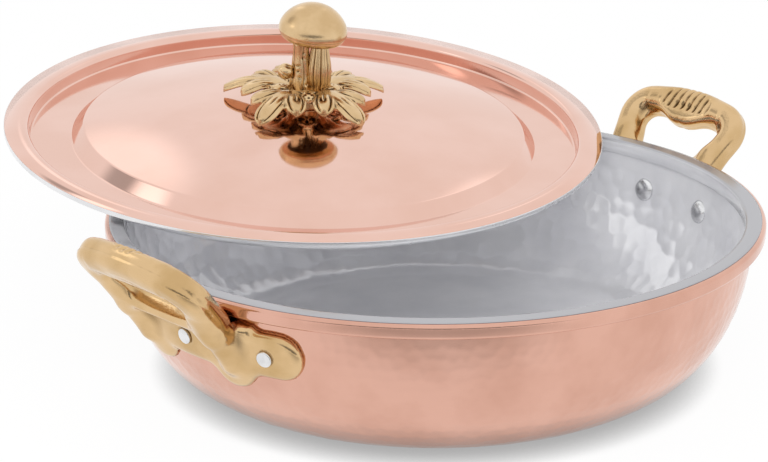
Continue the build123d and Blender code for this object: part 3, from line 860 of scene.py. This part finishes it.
def make_knob(lid):
    """Leaves, stem, cap, bud and berry, each a casting of its own."""
    rise = Matrix.Translation((0, 0, DOME_RISE)) @ Matrix.Rotation(KNOB_TURN, 4, "Z")
    knob = lid @ np.array(rise)
    reach = LEAF_REACH + 1.0
    points, faces = surface_net(rosette_field, (-reach, -reach, -5.0), (reach, reach, 13.5), 0.42)
    shapes = {"leaf_rosette": (smooth_points(points, faces, 1), faces)}
    outline = [(0, 5.5)] + profile(STEM_MARKS, 0.35) + [(0, STEM_MARKS[-1][1])]
    points, faces = lathe(outline, 96, stem_creases)
    shapes["mushroom_stem"] = (points + (STEM_X, 0, 0), faces)
    outline = [(0, 5.5)] + profile(BUD_MARKS, 0.4) + [(0, BUD_MARKS[-1][1])]
    points, faces = lathe(outline, 216, bud_ribs)
    shapes["fluted_bud"] = (points + (BUD_X, 0, 0), faces)
    angles = np.linspace(-1.5707, 1.5707, 40)
    ball = [(BERRY_RADIUS * math.cos(a), BERRY_RADIUS * math.sin(a)) for a in angles]
    points, faces = lathe([(0, -BERRY_RADIUS)] + ball[1:-1] + [(0, BERRY_RADIUS)], 90, berry_lobes)
    turn = Matrix.Rotation(BERRY_AZIMUTH, 4, "Z") @ Matrix.Translation((BERRY_REACH, 0, 0))
    tip = Matrix.Translation((STEM_X, 0, BERRY_RISE)) @ turn @ Matrix.Rotation(math.radians(60), 4, "Y")
    shapes["berry"] = (placed(points, np.array(tip)), faces)
    crown = arc((0, CAP_CROWN - CAP_BALL), CAP_BALL, 90, CAP_TOUCH, 30)
    shoulder = arc((CAP_RADIUS - CAP_SHOULDER, 0), CAP_SHOULDER, CAP_TOUCH, -6, 24)
    skirt = profile([(CAP_RADIUS - 0.65, -1.5), (CAP_RADIUS - 0.9, -2.6), (15.2, -4.5), (11.6, -5.4)], 0.25)
    outline = [(0, -4.9), (10.8, -4.9)] + skirt[::-1] + shoulder[::-1] + crown[::-1][1:-1] + [(0, CAP_CROWN)]
    points, faces = lathe(outline, 160)
    cap = Matrix.Translation((STEM_X + CAP_OFFSET, 0, CAP_RISE)) @ Matrix.Rotation(CAP_TILT, 4, "Y")
    shapes["mushroom_cap"] = (placed(points, np.array(cap)), faces)
    made = []
    for node, (points, faces) in shapes.items():
        piece = make_object(node + "_casting", placed(points, knob), faces, "lid")
        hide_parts(node)
        mark_patina_and_shade_hollows(piece, 10, 0.22)
        made.append(piece)
    return made


# Materials

def metal(name, color, shade, roughness, patch, grain, grain_depth, hollow=None):
    """Metal with cloudy colour and roughness, a fine grain and, if asked, dark hollows of patina and painted
    shade; sizes in metres.
    """
    material = bpy.data.materials.new(name)
    material.use_nodes = True
    nodes, links = material.node_tree.nodes, material.node_tree.links
    shader = nodes["Principled BSDF"]
    shader.inputs["Metallic"].default_value = 1.0
    place = nodes.new("ShaderNodeTexCoord")
    cloud = nodes.new("ShaderNodeTexNoise")
    cloud.inputs["Scale"].default_value = 1 / patch
    cloud.inputs["Detail"].default_value = 4.0
    links.new(place.outputs["Object"], cloud.inputs["Vector"])
    tint = nodes.new("ShaderNodeValToRGB")
    tint.color_ramp.elements[0].position = 0.35
    tint.color_ramp.elements[0].color = (*shade, 1)
    tint.color_ramp.elements[1].position = 0.6
    tint.color_ramp.elements[1].color = (*color, 1)
    links.new(cloud.outputs["Fac"], tint.inputs["Fac"])
    polish = nodes.new("ShaderNodeMapRange")
    polish.inputs["From Min"].default_value = 0.3
    polish.inputs["From Max"].default_value = 0.7
    polish.inputs["To Min"].default_value = roughness[1]
    polish.inputs["To Max"].default_value = roughness[0]
    links.new(cloud.outputs["Fac"], polish.inputs["Value"])
    finish, gloss = tint.outputs["Color"], polish.outputs["Result"]
    if hollow:
        depth = nodes.new("ShaderNodeAttribute")
        depth.attribute_name = "hollow"
        reach = nodes.new("ShaderNodeMapRange")
        reach.inputs["From Min"].default_value = 0.05
        reach.inputs["From Max"].default_value = 0.6
        links.new(depth.outputs["Fac"], reach.inputs["Value"])
        # Patina and painted shade: the colour darkens toward the hollow colour in hollows.
        patina_and_shade = nodes.new("ShaderNodeMix")
        patina_and_shade.data_type = "RGBA"
        patina_and_shade.inputs["B"].default_value = (*hollow, 1)
        links.new(reach.outputs["Result"], patina_and_shade.inputs["Factor"])
        links.new(finish, patina_and_shade.inputs["A"])
        dull = nodes.new("ShaderNodeMath")
        dull.operation = "MULTIPLY_ADD"
        dull.inputs[1].default_value = 0.35
        links.new(reach.outputs["Result"], dull.inputs[0])
        links.new(gloss, dull.inputs[2])
        finish, gloss = patina_and_shade.outputs["Result"], dull.outputs["Value"]
    links.new(finish, shader.inputs["Base Color"])
    links.new(gloss, shader.inputs["Roughness"])
    fine = nodes.new("ShaderNodeTexNoise")
    fine.inputs["Scale"].default_value = 1 / grain
    fine.inputs["Detail"].default_value = 3.0
    links.new(place.outputs["Object"], fine.inputs["Vector"])
    bump = nodes.new("ShaderNodeBump")
    bump.inputs["Distance"].default_value = grain_depth
    links.new(fine.outputs["Fac"], bump.inputs["Height"])
    links.new(bump.outputs["Normal"], shader.inputs["Normal"])
    return material


def paint_rim_shade(material):
    """Painted shade: greyer tin mixed in on top of the rim, by height."""
    nodes, links = material.node_tree.nodes, material.node_tree.links
    colour = nodes["Principled BSDF"].inputs["Base Color"]
    finish = colour.links[0].from_socket
    place = nodes.new("ShaderNodeTexCoord")
    part = nodes.new("ShaderNodeSeparateXYZ")
    links.new(place.outputs["Object"], part.inputs["Vector"])
    height = nodes.new("ShaderNodeMapRange")
    height.inputs["From Min"].default_value = (PAN_HEIGHT - 1.6) * MM
    height.inputs["From Max"].default_value = (PAN_HEIGHT - 0.3) * MM
    links.new(part.outputs["Z"], height.inputs["Value"])
    # Painted shade: the tin's colour is pulled toward grey on the rim's top.
    rim_shade = nodes.new("ShaderNodeMix")
    rim_shade.data_type = "RGBA"
    rim_shade.inputs["B"].default_value = (*RIM_TIN_SHADE, 1)
    links.new(height.outputs["Result"], rim_shade.inputs["Factor"])
    links.new(finish, rim_shade.inputs["A"])
    links.new(rim_shade.outputs["Result"], colour)


def make_finishes():
    """All the metals, by name."""
    finishes = {name: metal(name, *finish) for name, finish in FINISHES.items()}
    tin = finishes["pan_tin"]
    tin.node_tree.nodes["Principled BSDF"].inputs["Metallic"].default_value = PAN_TIN_METALLIC
    # Painted shade on the top of the rim.
    paint_rim_shade(tin)
    return finishes


def dress(piece, material):
    """Puts one material on a piece or a CAD node."""
    if piece.material_slots:
        for slot in piece.material_slots:
            slot.material = material
    else:
        piece.data.materials.append(material)


# Stage

def make_floor():
    """Wide white floor, white to the camera and in reflections, with a painted contact shadow in its glow and
    a faint real one from its diffuse share.
    """
    mesh = bpy.data.meshes.new("floor")
    reach = 8.0
    mesh.from_pydata([(-reach, -reach, 0), (reach, -reach, 0), (reach, reach, 0), (-reach, reach, 0)], [],
                     [(0, 1, 2, 3)])
    floor = bpy.data.objects.new("floor", mesh)
    bpy.context.scene.collection.objects.link(floor)
    material = bpy.data.materials.new("floor")
    material.use_nodes = True
    nodes, links = material.node_tree.nodes, material.node_tree.links
    shader = nodes["Principled BSDF"]
    shader.inputs["Base Color"].default_value = (0.9, 0.9, 0.9, 1)
    shader.inputs["Roughness"].default_value = 0.9
    shader.inputs["Specular IOR Level"].default_value = 0.0
    # Painted contact shadow: occlusion darkens the glow's colour near the pan.
    contact = nodes.new("ShaderNodeAmbientOcclusion")
    contact.inputs["Distance"].default_value = 0.016
    contact.samples = 8
    painted_contact_shadow = nodes.new("ShaderNodeMapRange")
    painted_contact_shadow.inputs["From Min"].default_value = 0.1
    painted_contact_shadow.inputs["From Max"].default_value = 0.8
    painted_contact_shadow.inputs["To Min"].default_value = 0.42
    painted_contact_shadow.inputs["To Max"].default_value = 1.0
    links.new(contact.outputs["AO"], painted_contact_shadow.inputs["Value"])
    glow = nodes.new("ShaderNodeEmission")
    links.new(painted_contact_shadow.outputs["Result"], glow.inputs["Color"])
    path = nodes.new("ShaderNodeLightPath")
    either = nodes.new("ShaderNodeMath")
    either.operation = "ADD"
    links.new(path.outputs["Is Camera Ray"], either.inputs[0])
    links.new(path.outputs["Is Glossy Ray"], either.inputs[1])
    seen = nodes.new("ShaderNodeMath")
    seen.operation = "ADD"
    links.new(either.outputs["Value"], seen.inputs[0])
    links.new(path.outputs["Is Transmission Ray"], seen.inputs[1])
    share = nodes.new("ShaderNodeMath")
    share.operation = "MULTIPLY"
    share.use_clamp = True
    share.inputs[1].default_value = FLOOR_GLOW
    links.new(seen.outputs["Value"], share.inputs[0])
    blend = nodes.new("ShaderNodeMixShader")
    links.new(share.outputs["Value"], blend.inputs["Fac"])
    links.new(shader.outputs["BSDF"], blend.inputs[1])
    links.new(glow.outputs["Emission"], blend.inputs[2])
    links.new(blend.outputs["Shader"], nodes["Material Output"].inputs["Surface"])
    mesh.materials.append(material)


def make_world():
    """Even white surroundings, as bright to the camera and in reflections as on the floor."""
    world = bpy.data.worlds.new("studio")
    bpy.context.scene.world = world
    world.use_nodes = True
    world.node_tree.nodes["Background"].inputs["Color"].default_value = (1, 1, 1, 1)
    world.node_tree.nodes["Background"].inputs["Strength"].default_value = 1.0


def make_card(name, place, aim, size, level, cover):
    """Studio card with faded edges that shows in reflections only: level is its light, cover its strength."""
    mesh = bpy.data.meshes.new(name)
    mesh.from_pydata([(-1, -1, 0), (1, -1, 0), (1, 1, 0), (-1, 1, 0)], [], [(0, 1, 2, 3)])
    card = bpy.data.objects.new(name, mesh)
    card.location = place
    card.rotation_euler = (Vector(aim) - Vector(place)).to_track_quat("-Z", "Y").to_euler()
    card.scale = (size[0] / 2, size[1] / 2, 1)
    bpy.context.scene.collection.objects.link(card)
    card.visible_camera = False
    card.visible_diffuse = False
    card.visible_shadow = False
    material = bpy.data.materials.new(name)
    material.use_nodes = True
    nodes, links = material.node_tree.nodes, material.node_tree.links
    nodes.remove(nodes["Principled BSDF"])
    local = nodes.new("ShaderNodeTexCoord")
    length = nodes.new("ShaderNodeVectorMath")
    length.operation = "LENGTH"
    links.new(local.outputs["Object"], length.inputs[0])
    fade = nodes.new("ShaderNodeMapRange")
    fade.interpolation_type = "SMOOTHSTEP"
    fade.inputs["From Min"].default_value = 0.35
    fade.inputs["From Max"].default_value = 1.0
    fade.inputs["To Min"].default_value = cover
    fade.inputs["To Max"].default_value = 0.0
    links.new(length.outputs["Value"], fade.inputs["Value"])
    glow = nodes.new("ShaderNodeEmission")
    glow.inputs["Strength"].default_value = level
    clear = nodes.new("ShaderNodeBsdfTransparent")
    blend = nodes.new("ShaderNodeMixShader")
    links.new(fade.outputs["Result"], blend.inputs["Fac"])
    links.new(clear.outputs["BSDF"], blend.inputs[1])
    links.new(glow.outputs["Emission"], blend.inputs[2])
    links.new(blend.outputs["Shader"], nodes["Material Output"].inputs["Surface"])
    mesh.materials.append(material)


def toward(azimuth, elevation, distance, centre=(0.0, 0.1, 0.08)):
    """Point at a distance from a centre, angles in degrees."""
    turn, lift = math.radians(azimuth), math.radians(elevation)
    out = (math.cos(lift) * math.cos(turn), math.cos(lift) * math.sin(turn), math.sin(lift))
    return tuple(c + distance * o for c, o in zip(centre, out))


def make_lamp(name, place, aim, size, power):
    """Square soft lamp aimed at a point, with no reflection of its own."""
    light = bpy.data.lights.new(name, "AREA")
    light.size = size
    light.energy = power
    lamp = bpy.data.objects.new(name, light)
    lamp.location = place
    lamp.rotation_euler = (Vector(aim) - Vector(place)).to_track_quat("-Z", "Y").to_euler()
    lamp.visible_glossy = False
    bpy.context.scene.collection.objects.link(lamp)


def make_camera():
    """Long lens, above the near left, as the photograph was taken."""
    data = bpy.data.cameras.new("camera")
    data.lens = CAMERA_LENS
    data.sensor_width = 36.0
    camera = bpy.data.objects.new("camera", data)
    place = Matrix.Identity(4)
    for column, vector in enumerate((CAMERA_RIGHT, CAMERA_UP, -Vector(CAMERA_FORWARD), CAMERA_PLACE)):
        for row in range(3):
            place[row][column] = vector[row]
    camera.matrix_world = place
    bpy.context.scene.collection.objects.link(camera)
    bpy.context.scene.camera = camera


def make_lights():
    """Soft lamp from the camera's side, and cards that darken or brighten reflections."""
    middle = (0.0, 0.0, 0.05)
    make_lamp("key", toward(FRONT, 26, 1.7), middle, 0.9, LAMP_POWER)
    make_card("flag", toward(FRONT, 4, 1.7), middle, (4.0, 0.9), 0.0, 0.75)
    near_floor = toward(FRONT, 0, 0.43, (0.0, 0.0, 0.004))
    make_card("low_flag", near_floor, Vector(near_floor) - Vector((0, 0, 1)), (0.56, 0.56), 0.0, 0.4)
    make_card("back_flag", toward(122, 37, 1.5, (0.17, 0.0, 0.09)), middle, (0.6, 0.6), 0.05, 0.5)
    front_grip = (-0.18, 0.0, 0.09)
    make_card("grip_glow", toward(110, 42, 0.4, front_grip), front_grip, (0.18, 0.18), 1.8, 0.85)
    make_card("left_glow", toward(69, 39, 1.5), middle, (0.36, 0.85), 1.35, 0.9)
    make_card("right_glow", toward(22, 43, 1.5), middle, (0.14, 0.7), 1.35, 0.9)


def main():
    make_camera()
    make_floor()
    make_world()
    make_lights()
    finishes = make_finishes()
    pan_copper, pan_tin = make_pan()
    dress(pan_copper, finishes["hammered_copper"])
    dress(pan_tin, finishes["pan_tin"])
    lid = lid_matrix()
    lid_copper, lid_tin = make_lid(lid)
    dress(lid_copper, finishes["lid_copper"])
    dress(lid_tin, finishes["lid_tin"])
    for piece in make_handles():
        dress(piece, finishes["rivet" if piece.name.endswith("rivets") else "handle_brass"])
    for piece in make_knob(lid):
        dress(piece, finishes["knob_brass"])
    for name in ("knob_stud", "knob_washer", "knob_nut"):
        dress(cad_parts[name], finishes["fastener"])
    bpy.context.scene.view_settings.view_transform = "Standard"


main()
